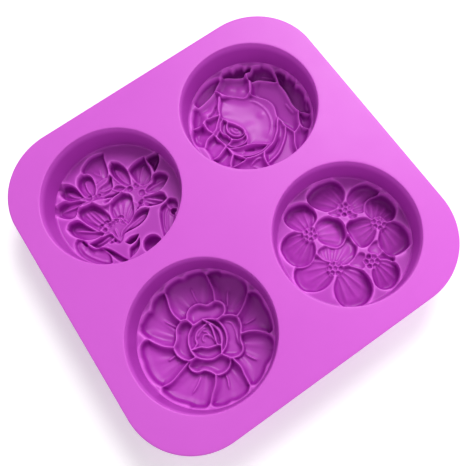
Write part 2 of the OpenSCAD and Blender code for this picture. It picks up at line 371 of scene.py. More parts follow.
# outline, foot, tip, depth at the foot, depth at the tip
BLOSSOM_PETALS = [
    # behind: the petals that others lap over
    ([(13, 15.2), (15.5, 17.3), (19, 18.5), (23, 18), (26.5, 16), (28.3, 13), (28.5, 10), (25, 8.5), (20, 8),
      (16, 6), (12.5, 8), (11.5, 11.5)], (10.5, 12), (27, 15), 2.4, 4.6),
    ([(-26, 2.5), (-28.5, 0), (-29.5, -3.5), (-28.8, -7.5), (-26, -10.5), (-22.5, -12.2), (-18.5, -12.5),
      (-14.5, -11), (-12.5, -8.5), (-11, -4.5), (-12.5, -1), (-14.5, 2.5), (-20, 4)],
     (-12, -7), (-29, -4), 2.6, 4.8),
    ([(-13, 3), (-8, 3.5), (0, 2.5), (3.6, 1.4), (4.8, -1), (4, -4.5), (1.5, -7.5), (-2, -9.4), (-5.5, -9.4),
      (-8.5, -7.5), (-10.5, -4.5), (-13, -1)], (-10.5, -7), (3, -1), 2.4, 4.4),
    ([(-4.5, -10.2), (0, -8.8), (2.8, -8.6), (4, -10.5), (2.4, -13), (0, -15.2), (-2.6, -14)],
     (3, -13.5), (-4, -11), 1.8, 2.8),
    ([(6.2, -10), (9.4, -8.2), (12.6, -8.6), (12.6, -12), (10, -14.6), (7.6, -13.4)],
     (5.5, -13.5), (12, -9), 1.8, 3),
    ([(7.8, -15), (11, -14.4), (13, -16.5), (14.3, -19), (13, -20.6), (10, -18.4)],
     (6, -15), (14, -20), 1.8, 2.8),
    ([(2.2, 15.2), (6, 14.9), (8.2, 13), (5.8, 10.8), (3.4, 12)], (9, 12.5), (3, 14), 1.6, 2.6),
    ([(9.6, 9.6), (11.8, 9), (12.6, 6.8), (11, 5.8), (9, 7.2)], (10.5, 11), (11, 6), 1.6, 2.4),
    # in front
    ([(-14, 15.5), (-16.5, 20), (-17, 23.5), (-15.5, 26.3), (-12.5, 28), (-9, 28.1), (-5.5, 26.8), (-3, 24),
      (-2.5, 20), (-3.6, 16.5), (-7, 14.6), (-11, 14.2)], (-10.5, 13.5), (-10, 28), 2.8, 5.6),
    ([(-26.8, 10.5), (-26, 14), (-23, 16.8), (-19, 17.6), (-15, 16.5), (-13, 14.5), (-12.8, 11.5), (-11.8, 8),
      (-13, 4.5), (-15.5, 2), (-19, 0.6), (-22.5, 1.6), (-25.5, 4), (-26.8, 7.5)],
     (-12, 11), (-27, 8.5), 2.8, 5.8),
    ([(-7, 13.3), (-4, 14.8), (0, 14.6), (3, 12.4), (4.8, 9), (4.5, 5), (2.5, 1.6), (-1, -0.4), (-4.5, 0),
      (-7.5, 3), (-9.2, 6.5), (-8.6, 10)], (-9.5, 10.5), (4.5, 5), 2.8, 5.4),
    ([(-13.5, -12), (-17, -15), (-18.8, -19.5), (-18.2, -24), (-15, -27), (-10, -28.6), (-6, -27.8),
      (-2.5, -25), (-1, -20.5), (-1.5, -15.5), (-3.5, -12), (-7, -9.6), (-11, -10.6)],
     (-10.3, -10.5), (-9.5, -28.5), 2.8, 6),
    ([(-2.3, 25), (-1, 28), (2.5, 29.6), (7, 30), (11.5, 28.8), (14.3, 26.4), (15.4, 23), (14.8, 19.5),
      (13, 17), (10, 15.2), (6, 15), (2, 16.2), (-0.5, 19.5), (-2, 22.5)], (9.5, 14), (6, 30), 2.6, 5.6),
    ([(5, 5), (8, 6.4), (11.5, 5.4), (15, 3.4), (16.8, 0.6), (15.6, -4), (12, -7), (8, -8), (4.6, -6.6),
      (4, -3), (4.2, 1)], (17.2, -2), (5, -1), 2.4, 4.8),
    ([(16.3, 4.6), (17.5, 7.5), (20.5, 9.8), (24.5, 10.2), (28.3, 8.3), (30.2, 5.3), (30.4, 2), (29.6, -1.3),
      (27.4, -3.6), (24.5, -4.8), (21.5, -3.6), (19.4, -0.6), (16.8, 1.5)], (18.6, -0.6), (30, 4), 3, 6.6),
    ([(15.5, -6.5), (13, -9), (12, -12.5), (13, -16.6), (15.5, -18.8), (20, -19.4), (24.3, -18.5),
      (26.4, -15.6), (27, -12), (26.4, -8.5), (24.6, -5.8), (21.5, -4.2), (18, -4.6)],
     (18.8, -4), (20, -19.5), 3, 6.4),
    ([(2, -18.5), (0, -22), (-0.5, -25.3), (1, -28), (4.5, -29.6), (8, -29.2), (11.3, -27), (13, -23.5),
      (12.4, -20), (10, -17.2), (6, -16.6)], (5.4, -17), (5.6, -30), 2.6, 5.8),
]
BLOSSOM_HEARTS = [(-10.6, 11.8), (-10.8, -7.8), (9.8, 12.2), (18.8, -2.2), (4.8, -14.8)]
SHORT_PETAL = 9
# how much deeper than in the list the petals are pressed, at the foot and at the tip
LONG_DEEPER = (0.2, 2)
SHORT_DEEPER = (0, -0.4)
HEART_R = 3.4
BEADS = 6
BEAD_RING_R = 2.6
BEAD_TURN = 0.37     # each heart is turned on from the one before by this share of a bead


def blossoms():
    flower = Relief(off_centre=(-0.3, -0.3))
    for points, foot, tip, at_foot, at_tip in BLOSSOM_PETALS:
        short = hypot(tip[0] - foot[0], tip[1] - foot[1]) < SHORT_PETAL
        more_at_foot, more_at_tip = SHORT_DEEPER if short else LONG_DEEPER
        petal = (outline(points), foot, tip, at_foot + more_at_foot, at_tip + more_at_tip)
        if short:
            flower.petal(*petal, soft=3, lip=0.6, crest=0.25)
        else:
            flower.petal(*petal, soft=5, lip=0.55, bow=3.5, hump=0.18, ribs=21, rib_depth=0.5, crest=0.25)
    for k, (x, y) in enumerate(BLOSSOM_HEARTS):
        disc = round_outline((x, y), HEART_R)
        flower.petal(disc, (x, y), (x + 1, y), 1.2, 1.2, soft=1.2, lip=0.8, crest=0.1)
        for a in turns(BEADS, BEAD_TURN * k):
            flower.knob((x + BEAD_RING_R * cos(a), y + BEAD_RING_R * sin(a)), r=1.25, sink=0.9)
        flower.knob((x, y), r=1.1, sink=0.6)
    return flower.finished()


# ---- Lilies: three pointed flowers on a stem, with leaves behind ----

# arcs that meet at corners, foot, tip, depth at the foot, depth at the tip
LILY_LEAVES = [
    ([[(5.6, 26), (4.7, 22), (3.4, 18), (0, 15.6), (-4.6, 16), (-4.8, 20), (-5.4, 24), (-7.4, 25.6)],
      [(-6, 27.7), (-3, 29.4), (0, 30.3), (3.5, 29.9), (6.8, 28.5)]], (0, 15), (0, 30), 3.2, 4.2),
    ([[(-24.2, -3.4), (-23.2, -7), (-21.4, -11), (-18.8, -12.4), (-17.2, -14.6), (-16.4, -18), (-17.4, -22)],
      [(-20.4, -21.6), (-23.6, -19), (-26.4, -15), (-28.2, -11), (-28.7, -7), (-27.8, -4), (-26, -2.7)]],
     (-18, -6), (-24, -16), 3, 3.2),
    ([[(10.6, -21), (12.8, -15.8), (15, -12.8), (17.6, -11.8), (20, -11.6)], [(20.6, -15), (19, -20),
       (15, -24), (9, -26)]], (12, -26), (19, -13), 3.2, 3.8),
    ([[(21.4, -11), (23.6, -13.2), (22.8, -16.2), (20.8, -18.2)], [(19, -16), (18.6, -13), (19.4, -11.4)]],
     (20, -18), (21, -11), 3, 4.4),
]
LILY_PETALS = [
    # flower at the right
    ([[(3.4, 10.9), (5.6, 9.2), (7.2, 6.6)], [(4.6, 6.4), (2.4, 7.8), (0.8, 10.2)]], (7, 6.5), (1, 10), 3, 4),
    ([[(28, 9.6), (25.6, 7), (22.6, 5)], [(23, 9), (22.8, 13.2), (26, 13.6), (29.2, 12.8)]],
     (22, 7), (29, 12.5), 4.4, 6.2),
    ([[(21.9, 12), (21.7, 8.4), (20.4, 4.8), (17.6, 2.6), (13.8, 2.8)], [(12.4, 5.6), (12, 9.4), (12.3, 13),
       (15, 14.5), (18.5, 15.1), (22.4, 14.9)]], (12.8, 3.6), (22, 14), 4.2, 6.6),
    ([[(26.5, 1.5), (24.2, 3.7), (21, 3.9), (18.8, 1.8), (15.8, 1.4), (13.2, 0.2)], [(13.6, -1.4),
       (15.6, -2.9), (18.6, -4.3), (21.8, -4), (25, -2.3), (26.9, -0.9)]], (12.6, 0.2), (27, -0.6), 3.8, 6),
    ([[(20.4, -6.6), (17.6, -4.3), (14, -3), (11.2, -2)], [(9.8, -4.6), (10.2, -7.4), (13.4, -9.3),
       (17, -10.5), (20.3, -10)]], (10.6, -2.4), (20, -10), 3.6, 5.6),
    ([[(9.9, 20.4), (11.4, 17), (11.8, 13.5), (11.1, 10), (9.8, 6.8)], [(7.4, 7.2), (5.8, 10), (4.8, 13.5),
       (4.5, 17), (5.3, 20.4), (7.6, 22.3)]], (9, 6), (7.6, 22), 4, 6.4),
    # flower at the top left
    ([[(1.3, 10.6), (2.8, 13.4), (3.6, 16.6), (0, 15.2), (-4.5, 14.7), (-7.2, 12.4)], [(-5, 9.7),
       (-1.4, 9.3)]], (-7.5, 12), (3.4, 16), 3.4, 5),
    ([[(-18.4, 25.8), (-15.8, 24.2), (-14.1, 21.6), (-13.2, 18.6), (-12.6, 14.4)], [(-15.6, 14.9),
       (-18.6, 16), (-20.4, 18), (-21.6, 21.4), (-20.4, 25.4)]], (-12.8, 14.4), (-20, 25), 3.8, 6.6),
    ([[(-26, 17.7), (-22.5, 18), (-19.8, 17.1), (-16.8, 15.6), (-14.2, 13.6), (-12.4, 11.8)], [(-15.6, 11.8),
       (-18.6, 10.7), (-20.8, 8), (-23.6, 8.5), (-26.2, 10.9), (-28, 13.8), (-28.4, 16.2)]],
     (-12.4, 12), (-28, 15.6), 3.8, 6.4),
    ([[(-5.9, 24.7), (-4.5, 22.4), (-4.5, 19), (-5.4, 15.8), (-7.4, 12.6)], [(-10.4, 13), (-12.4, 14.8),
       (-12.8, 18.2), (-12.3, 21.6), (-10.6, 24.2), (-8, 25.3)]], (-9, 12.5), (-8, 25), 4, 6.6),
    # flower in front
    ([[(-25.4, 6.4), (-22.4, 6.2), (-20.2, 4.6), (-17.4, -0.8), (-15.2, -4), (-13, -6.8)], [(-15.2, -7.6),
       (-18.8, -7), (-22.2, -5.2), (-24.8, -2.4), (-26.8, 1), (-27.4, 4.7)]],
     (-12.6, -6.6), (-27, 4.6), 4, 6.2),
    ([[(-17.5, -8.4), (-12.4, -8.4), (-10.4, -9.6)], [(-10.8, -11.6), (-15.5, -12.4), (-20, -11.6),
       (-22, -8)]], (-11, -10), (-21.6, -9), 3.4, 5),
    ([[(8.8, -8), (5.4, -7.4), (1.4, -8.2), (-2.7, -10.1), (-6.2, -11.2), (-9, -14.9)], [(-5.4, -13),
       (-1.5, -13.4), (3, -13.6), (7.2, -12.3), (10.5, -9.6)]], (-8.6, -14), (10, -10), 3.4, 4.8),
    ([[(-2.2, -16.9), (-4.5, -16.5), (-7.4, -17.2)], [(-6, -19.2), (-3, -19.2), (-0.3, -17.6)]],
     (-7, -17.6), (-0.5, -17.5), 6, 6),
    ([[(-4, -20.7), (-7.4, -21.4), (-9.4, -25)], [(-5.6, -24.2), (-2.8, -22.4), (-1, -19.4)]],
     (-9, -24.6), (-1, -19.5), 3.6, 4.8),
    ([[(-15.6, -15.4), (-13.4, -19.4), (-10.8, -25.4)], [(-14, -24), (-16, -19), (-17.8, -13.2)]],
     (-12, -25), (-17.6, -13), 3, 4.6),
]
# the two broad petals of the front flower
LILY_BROAD = [
    ([[(-17, 11), (-14, 10.6), (-11.4, 9.7), (-9.2, 6.5), (-7.6, 2.5), (-7, -1), (-7.8, -4)], [(-10.4, -3),
       (-13.4, -3.4), (-15.2, -4.6), (-17.8, 0.5), (-19.2, 4), (-19.8, 8), (-19.2, 10.3)]],
     (-11.4, -4), (-15.4, 10.6), 5, 7),
    ([[(6.8, 1.2), (5.8, -1.2), (4.7, -4.2), (3, -7), (0.6, -8.6), (-1.9, -9.8)], [(-2.8, -7), (-3.4, -4.4),
       (-6.4, -3), (-6.4, -0.4), (-5.2, 2.4), (-2.4, 4.6), (0.8, 5.6), (3.6, 5.6), (6.4, 3.5)]],
     (-3, -6.5), (4, 4), 4.6, 5.8),
]
# shallow ground that the petals of each flower stand on
LILY_GROUNDS = [
    [(4.4, 12), (8, 10.4), (12, 12), (17, 9), (18.6, 5), (20, 1), (17.4, -4), (14, -7), (10.6, -7), (6.6, -5),
     (5, 2)],
    [(-18, 14), (-15, 17.6), (-11, 18), (-6, 17), (0, 17.4), (4.6, 15), (6.4, 9), (1.6, 6.4), (-4, 7.4),
     (-8, 9.4), (-12, 10), (-15.6, 10.6)],
    [(-19, 2), (-16, 7), (-10, 6.4), (-6, 4), (0, 4), (4.4, 1.2), (7.6, -4.6), (2, -8), (-4, -11.6),
     (-8.2, -15.6), (-10.6, -15.6), (-13, -10), (-16.6, -6.6), (-19.6, -3)],
]
KNOB_SCALE = 1.15     # the knobs are this much larger than the radii listed below
# spot, radius
LILY_KNOBS = [
    ((8, 5.3), 1.3), ((11.5, 5.1), 1.3), ((11.8, 0.2), 1.6), ((9.5, -3.7), 1.2), ((-11, 13.1), 1.5),
    ((-13.2, -2.7), 1.5), ((-10.4, -2.5), 1.5), ((-12.7, -5.5), 1.1), ((-9.6, -5), 1.1), ((-3.5, -4.2), 1.5),
    ((-5.8, -4.7), 1.1), ((-3.3, -6.8), 1.2), ((-7.7, -4.9), 1), ((-6.2, 11.4), 0.9),
]
# raised lines, and how high they stand
LILY_LINES = [
    ([(-11.6, -6.6), (-10.3, -11), (-9.3, -16.4)], 1), ([(-8.3, -7), (-8.8, -11.4), (-9.3, -16.4)], 1),
    ([(-17.4, -12.2), (-15, -15), (-12.6, -20), (-10.6, -25)], 1.2),
    ([(-9.2, -16), (-9.8, -20), (-10.2, -25)], 0.9), ([(14, -1), (17, 0), (21, 0.2), (25, -0.2)], 0.7),
    ([(11.6, -3.4), (14, -5.4), (17, -8), (19, -9.4)], 1.2),
    ([(12.6, 4), (15.4, 8), (18.4, 11.6), (21.4, 14)], 0.8), ([(23, 7), (25, 9.6), (28, 12)], 0.9),
    ([(8.8, 7.6), (7.2, 12), (6.6, 17), (7.4, 21)], 0.8), ([(-13.4, 15), (-16.6, 18), (-19.4, 23)], 1),
    ([(-13, 12.4), (-19, 13), (-26.6, 15.6)], 1), ([(-9.2, 13.6), (-9.4, 18), (-8.4, 23.6)], 1.2),
    ([(-14, -6), (-19, -2), (-25.6, 3.8)], 1.1), ([(-12, -10), (-16.4, -10.2), (-21, -9)], 0.9),
    ([(-13.6, -2), (-15.6, 4), (-16.6, 10)], 0.8), ([(-10.6, -2), (-11.6, 4), (-13.4, 9.6)], 0.8),
    ([(-12, -2), (-13.6, 4), (-14.8, 10)], 0.7), ([(-8.6, -13.2), (-3, -11.4), (3, -10), (9, -9.2)], 1),
    ([(-26.4, -5), (-25.6, -11), (-22, -17), (-18.4, -21)], 0.5),
    ([(11, -24), (14.6, -17), (18.6, -12.6)], 0.8), ([(-5.6, 13.6), (-2, 11.6), (1.6, 11.4)], 0.9),
    ([(-3, 24), (-0.4, 20), (1.4, 25)], 0.5),
]
# sunk lines beside the petals' lower edges
LILY_GROOVES = [
    [(-7.6, -13.2), (-4, -12.6), (0.6, -12.9), (5, -12.3), (9, -10.4)],
    [(-24.3, -3.8), (-23.9, -5.6), (-23, -8)], [(10.8, -6.6), (13.2, -8.4), (16.6, -9.7)],
    [(-5.4, 8.4), (-1.6, 7.6), (2.2, 6.6)], [(5.2, -6.2), (7.4, -5), (8.4, -2.6)],
    [(-6.6, 5.8), (-3, 6), (1, 6.7), (5, 6.2)], [(-14, -12.8), (-12, -13.4), (-10.6, -12.6)],
]
BERRY = (2.8, -25.4)
BERRY_R = 4.4
LEAF_HOLE = (19.7, -17)
LEAF_HOLE_R = 1.7


def lilies():
    flower = Relief(off_centre=(0.1, -0.9))
    flower.petals(LILY_LEAVES, soft=3, lip=0.6, bow=2.5, hump=0.2, ribs=15, rib_depth=0.3, crest=0.25)
    for points in LILY_GROUNDS:
        middle = np.array(points).mean(axis=0)
        flower.petal(outline(points), middle, middle + [1, 0], 2.4, 2.4, soft=2, lip=0.6, crest=0)
    flower.petals(LILY_PETALS, soft=3, lip=0.55, bow=4, hump=0.14, ribs=22, rib_depth=0.35, crest=0.25)
    flower.petals(LILY_BROAD, soft=3.6, lip=0.6, bow=4, hump=0.14, ribs=26, rib_depth=0.4, crest=0.25)
    for points, rise in LILY_LINES:
        flower.crease(points, rise=rise, width=0.5)
    for points in LILY_GROOVES:
        flower.crease(points, rise=-2, width=0.6)
    for spot, r in LILY_KNOBS:
        flower.knob(spot, KNOB_SCALE * r, sink=0.9)
    above = (BERRY[0], BERRY[1] + 1)
    flower.petal(round_outline(BERRY, BERRY_R), BERRY, above, 7.2, 7.2, soft=3.6, lip=0.55, crest=0.2)
    flower.knob(LEAF_HOLE, LEAF_HOLE_R, sink=3)
    return flower.finished()


# ---- Rose: a round heart with wrapped petals and a scalloped outer ring ----

# outline arcs, foot, tip, depth at the foot, depth at the tip, soft, lip
ROSE_PETALS = [
    # outer ring, clockwise from the top left
    ([[(-18.2, 24), (-17, 26.2), (-14, 28), (-9, 29.6), (-4, 30.2), (-0.8, 29.6), (0.6, 28)], [(-0.6, 24),
       (-3, 20)], [(-6, 22), (-12, 20), (-18, 22)]], (-6, 19), (-8, 29), 6.6, 5, 4, 0.5),
    ([[(3.4, 30.4), (6.4, 30.4), (8.2, 29), (10.4, 29), (12.8, 27.9), (13.6, 26.2), (15.6, 25.8),
       (16.6, 24.4)], [(15, 23.4), (12, 23.6), (10, 22), (5, 24), (1.6, 29)]],
     (8, 24), (10, 30), 7.6, 6.2, 3, 0.55),
    ([[(18, 23.7), (21, 22.1), (23.3, 20.2), (24.2, 18.2), (24.3, 16), (24, 13)], [(22.6, 10.4), (19, 14),
       (13, 17.6), (12.3, 21.5), (16.2, 23.2)]], (15, 18), (23, 21), 7.8, 5.8, 3, 0.5),
    ([[(27.4, 14), (28.8, 11.8), (28.6, 9.8), (29.9, 8), (30.4, 5), (29.4, 2.8), (30.4, 0.4), (30.4, -3),
       (29.2, -5.6), (29.4, -8.4), (28.4, -11.5), (26.4, -14.3)], [(24.6, -11.8), (22.8, -9), (21, 0),
       (22.6, 8), (23.8, 10), (25.3, 15)]], (22, 0), (30, 0), 8, 6, 3.4, 0.5),
    ([[(25.2, -17), (23.4, -19), (20.8, -20.6)], [(19.2, -18), (19, -15.6), (19.6, -13), (22.8, -9),
       (24.6, -11.8), (26.4, -14.3)]], (20, -12), (24.5, -18), 7.2, 5.8, 3, 0.45),
    ([[(18, -23.4), (14, -26), (9.2, -28)], [(9.6, -25), (11, -22), (14.2, -17.3), (17, -16.4), (19.2, -15),
       (19.2, -18), (20.8, -20.6)]], (15, -17), (15, -25.5), 4.4, 5.8, 3.4, 0.35),
    ([[(4, -29.6), (-2, -29.8), (-5.4, -29), (-6.4, -23.4)], [(-2, -20), (8, -12), (13, -7), (14.4, -13),
       (14.3, -17)], [(12.5, -20), (10.5, -23), (9.2, -28)]], (11, -14), (2, -28), 5.2, 5.2, 3.2, 0.35),
    ([[(-12, -27), (-18, -23), (-22, -17), (-22, -15)], [(-15, -15), (-9, -16.4), (-4, -17), (-6, -20),
       (-6.4, -23.4), (-5.4, -29)]], (-10, -16), (-14, -26), 4.2, 5.2, 3.4, 0.4),
    ([[(-20.6, -12.6), (-17, -9.2)], [(-14.4, -12.6), (-13.2, -15.4)], [(-17, -15.4), (-22, -15)]],
     (-16, -11), (-20, -15), 4.8, 5.4, 2, 0.45),
    ([[(-24, -6.6), (-20.4, -5.2), (-17, -3.4)], [(-16.6, -8), (-17, -9.2)], [(-20.6, -12.6), (-22, -15)],
      [(-25, -11.4), (-27.4, -6.2)]], (-22, -12), (-22, -5), 3.6, 6.4, 3.2, 0.45),
    ([[(-23.6, 4.2), (-18, 5.6)], [(-17.4, 2), (-17, 0), (-17, -3.6)], [(-20.4, -5), (-24, -6.4),
       (-27.4, -6.2)], [(-26.9, -3), (-27, 1.2)]], (-24, -5), (-21, 4), 3.6, 6.6, 3.6, 0.45),
    ([[(-21.5, 12.8), (-20, 10)], [(-19.6, 7.6), (-18, 5.4)], [(-21.4, 4.8), (-23.6, 4.2), (-27, 1.2)],
      [(-29.2, 3.6), (-29.7, 7), (-28.6, 10.4), (-26, 13.4)]], (-22, 5), (-26, 12), 4, 6.6, 3.8, 0.4),
    ([[(-13, 23.1), (-9, 24), (-5.4, 25.4)], [(-4, 22.4), (-4.6, 20)], [(-7, 16), (-11, 12), (-14.5, 13),
       (-18.6, 14), (-21.5, 12.8), (-26, 13.4)], [(-24.6, 16.6), (-22.4, 19.4), (-20, 21.6), (-18, 22)]],
     (-10, 14), (-17, 21), 4, 6, 3.8, 0.4),
    # second ring
    ([[(-20.2, 9), (-19.9, 12), (-18.5, 14.6)], [(-14.5, 13.8), (-10.8, 12.8)], [(-13, 9), (-16.6, 6.6),
       (-19.2, 6)]], (-15, 8), (-17, 13.4), 4.2, 6.4, 3, 0.45),
    ([[(-3, 27.2), (1.6, 28.9), (4.6, 27.9), (7.6, 25.5), (11.5, 23.1)], [(12.1, 20.6), (10.8, 17.8),
       (9, 14.4)], [(5, 12), (0, 14), (-3.2, 20), (-4.6, 23), (-5.4, 25.4)]],
     (3, 14), (4, 26), 5.2, 5.4, 3.6, 0.4),
    ([[(10.5, 15.6), (12, 17.8), (13.6, 18.6), (16, 18), (18, 16.2), (20, 13.4), (21.6, 11), (23.2, 10.4)],
      [(23.9, 8), (24, 4), (23.4, 0), (22.6, -4), (22.8, -9)], [(21, -11.5), (19.4, -14.6), (17, -16.3),
       (14.3, -17.2)], [(13, -12), (10, -5), (11, 5), (8.5, 13.6)]], (12, -2), (24, 2), 8, 4.6, 3.6, 0.45),
    ([[(11, -14.5), (8.5, -17), (6, -19), (3, -21), (0, -22.2), (-6.2, -23.2)], [(-5.4, -20), (-3.8, -17)],
      [(3, -15), (9, -9), (12.8, -5)], [(13.4, -8), (12.8, -11.6)]], (8, -10), (0, -21), 5.8, 5.4, 2.6, 0.45),
    # petals wrapped round the heart
    ([[(-18.8, 2), (-17.9, 0), (-17.7, -4), (-17.2, -9)], [(-14.6, -12.6), (-13.3, -14.9)], [(-9, -16.4),
       (-4, -17), (0, -16.2), (3, -15.3), (6, -13), (8, -11.4), (9.6, -9), (12.8, -5)], [(8, -3), (0, 5),
       (-8, 11), (-11.2, 12.2)], [(-14.4, 9.6), (-16.5, 7.2), (-19, 5.3)]],
     (0, 0), (-10, -12), 6, 5.6, 3, 0.5),
    ([[(-16, 5.8), (-14.4, 5.4)], [(-14.4, 3.2), (-13, 1), (-13, -1.2), (-14.4, -2.9)], [(-16.8, -2.8),
       (-17.6, -1), (-18.2, 1.6), (-18.4, 4.2)]], (-13, 2), (-18, 2), 7, 7.4, 1.6, 0.5),
    ([[(-15, -5.2), (-12, -6.5), (-9, -7), (-6.4, -6)], [(-5.6, -3.4), (-9.4, -3.2), (-12, -2.2), (-14, -2),
       (-16.2, -3)]], (-10, -3), (-12, -6.4), 5.8, 6.2, 1.8, 0.5),
    ([[(-16.2, -9), (-13.4, -12.6), (-9, -14.9), (-4, -15.6), (0.6, -14.6)], [(-4, -11.2), (-8.4, -8.4)],
      [(-12, -7.4), (-15.2, -6), (-17.3, -5)]], (-6, -8), (-12, -13), 6.6, 5.8, 3, 0.5),
    ([[(-12.9, 9), (-14.9, 6.2), (-15, 3.8), (-13.7, 1.8), (-13.3, -0.4), (-11.9, -2.5), (-9.4, -3.9),
       (-6.4, -3.7)], [(-4, 0), (-6, 6), (-10.4, 10.6)]], (-8, 3), (-14, 4), 7, 6.8, 1.6, 0.5),
    ([[(-11.4, 6), (-12.1, 3.4), (-11.5, 0.9), (-10.1, -0.9), (-8, -2.3), (-5.8, -2.2)], [(-4.6, 1),
       (-6.4, 5), (-9.6, 8)]], (-7, 2), (-12, 3), 6.6, 6.9, 1.4, 0.55),
    # the heart
    ([[(-7, 18), (-9.2, 15.2), (-10.9, 11.8)], [(-9.4, 8.4), (-7.2, 5), (-5.6, 1.6), (-5, -2), (-6, -5.4),
       (-8.4, -8.5)], [(-4, -11.2), (0.4, -14.2)], [(3, -14.4), (6, -12.4), (8.6, -10), (11, -6.6),
       (12.7, -5)], [(13.3, -3), (14.1, -1), (14.8, 1.5), (14.7, 4), (13.9, 6.7), (12.4, 9), (10.4, 11.4),
       (8.4, 13.7)], [(5.5, 13.6), (3.4, 15), (2, 16.6), (0.5, 17.9), (-1.6, 19.4), (-5, 20.6)]],
     (-7, 1), (6, 2), 5.8, 6, 5, 0.8),
]
# raised lines, and how high they stand
ROSE_LINES = [
    ([(-11, 13.4), (-9.2, 16.6), (-6.6, 20), (-5, 22.6)], 1.2),
    ([(-4.6, 25.6), (-4.4, 23.5), (-3, 21), (-1.5, 19.3), (0.5, 17.9)], 1),
    ([(-8.5, -8.4), (-4, -11.1), (0.2, -14)], 1), ([(20.2, 0), (20.3, -4), (20.6, -8.4)], 0.7),
    ([(4.5, 12.6), (8, 10), (10, 5.6), (10.4, 1), (8.8, -4.6), (5, -9), (0, -11.6)], 0.5),
    ([(30.2, -6.4), (27.8, -8.4), (27, -12)], 0.9), ([(-9.6, 5.6), (-10, 3), (-9, 0.8), (-7.2, 0)], 0.9),
    ([(-8.4, 4.4), (-8, 2.4), (-6.8, 1.6)], 0.7),
    ([(-17.2, -5.6), (-13.6, -10.4), (-8, -13.2), (-2, -14.2)], 0.6),
    ([(-26.6, 5), (-27.4, 8), (-26.4, 11)], 0.6), ([(-14, -19), (-10, -18.2), (-6, -18.6)], 0.9),
    ([(-9, -29), (-10, -24), (-13, -19)], 0.6), ([(18.6, 20), (21.4, 17), (23.4, 13)], 0.8),
]
# sunk lines in the folds
ROSE_GROOVES = [
    [(-17, 14.9), (-12.4, 16.4), (-8.4, 19.4)], [(-11.4, -9.4), (-8.6, -10.8), (-6, -12)],
    [(-3.6, -18), (0, -18), (4, -16.4), (8, -13.6)],
]
# soft swellings: spot, size and height
ROSE_SWELLS = [
    ((-6.4, 14), 2.6, 0.5), ((4, 3), 8, -0.9), ((7.4, 2), 1.8, 0.45), ((-1, -0.6), 3.4, 0.6),
    ((4, -9.4), 2.4, 0.4), ((1.8, 22), 2.4, 1), ((6, 17.6), 2.6, 1.1), ((-16.6, 17.8), 2.4, 1.4),
    ((-20, -1), 2, 0.6), ((-10, -4.8), 1.6, 0.6), ((24.4, -17), 1.8, 0.5), ((9.8, 18.4), 1.6, 0.7),
]


def rose():
    flower = Relief(off_centre=(-0.35, -0.8))
    for *petal, soft, lip in ROSE_PETALS:
        flower.petals([petal], soft=soft, lip=lip, bow=2.5, crest=0.14, edge=0.6)
    for spot, size, rise in ROSE_SWELLS:
        flower.swell(spot, size, rise)
    for points, rise in ROSE_LINES:
        flower.crease(points, rise=rise, width=0.5)
    for points in ROSE_GROOVES:
        flower.crease(points, rise=-1.2, width=0.6)
    return flower.finished()


# ---- Meshes ----

def new_object(name, data):
    """A new object in the scene."""
    made = bpy.data.objects.new(name, data)
    scene.collection.objects.link(made)
    return made


def new_piece(name, verts, faces, thin, sharp_rings=()):
    """A smooth mesh piece, given in millimetres. Edges whose two ends lie in one of the rings stay sharp.

    The paleness given for each vertex, 0 to 1, is stored for the silicone's colour: partly thin silicone
    looking paler, partly painted shade and painted highlight.
    """
    mesh = bpy.data.meshes.new(name)
    mesh.from_pydata((np.array(verts) * MM).tolist(), [], faces)
    mesh.validate()
    mesh.update()
    mesh.shade_smooth()
    paleness = mesh.attributes.new("thin", "FLOAT", "POINT")
    paleness.data.foreach_set("value", np.asarray(thin, dtype=np.float32))
    ends = np.zeros(len(mesh.edges) * 2, int)
    mesh.edges.foreach_get("vertices", ends)
    ends = ends.reshape(-1, 2)
    sharp = np.zeros(len(mesh.edges), bool)
    for ring in sharp_rings:
        held = np.zeros(len(mesh.vertices), bool)
        held[list(ring)] = True
        sharp |= held[ends[:, 0]] & held[ends[:, 1]]
    mesh.attributes.new("sharp_edge", "BOOLEAN", "EDGE").data.foreach_set("value", sharp)
    return new_object(name, mesh)


def circle(middle, radius, z, angles):
    """Points of a level circle."""
    return [(middle[0] + radius * cos(a), middle[1] + radius * sin(a), z) for a in angles]


def ring_faces(first, second, count):
    """Quads between two closed rings of vertices, given by each ring's first index."""
    return [(first + k, first + (k + 1) % count, second + (k + 1) % count, second + k) for k in range(count)]


def band_faces(starts, count):
    """Quads that join each ring to the one after it."""
    return [face for a, b in zip(starts, starts[1:]) for face in ring_faces(b, a, count)]


def quarter(steps):
    """Sine and cosine round a quarter turn."""
    return [(sin(pi / 2 * k / steps), cos(pi / 2 * k / steps)) for k in range(steps + 1)]


def soften(grid):
    """Averages each spot of a grid a little with its neighbours."""
    for axis in (0, 1):
        pad = np.concatenate([grid.take([0], axis), grid, grid.take([-1], axis)], axis)
        before, here, after = [pad.take(range(k, k + grid.shape[axis]), axis) for k in range(3)]
        grid = 0.25 * before + 0.5 * here + 0.25 * after
    return grid


# a spot is a ridge or a hollow against its surroundings, softened this many times
SOFTENINGS = 40
RIDGE_RISE = 1.1
HOLLOW_LIMIT = -0.6
PIT_FROM, PIT_OVER = 3.5, 4


def thinness(depth):
    """How pale each spot of a flower is painted: ridges paler, partly as thin silicone and partly as a
    painted highlight; hollows darker as painted shade; the floor below deep petals paler, partly as thinner
    silicone and partly as painted light.
    """
    around = depth
    for _ in range(SOFTENINGS):
        around = soften(around)
    ridge = np.clip((around - depth) / RIDGE_RISE, HOLLOW_LIMIT, 1)
    pit = ease((depth - PIT_FROM) / PIT_OVER)
    return np.clip(FLOOR_THIN_AND_SHADED + PIT_THIN_AND_LIT * pit + RIDGE_THIN_AND_LIT_HOLLOW_SHADED * ridge, 0, 1)


# height of an extra ring round the floor's side
SIDE_BEND_Z = 4


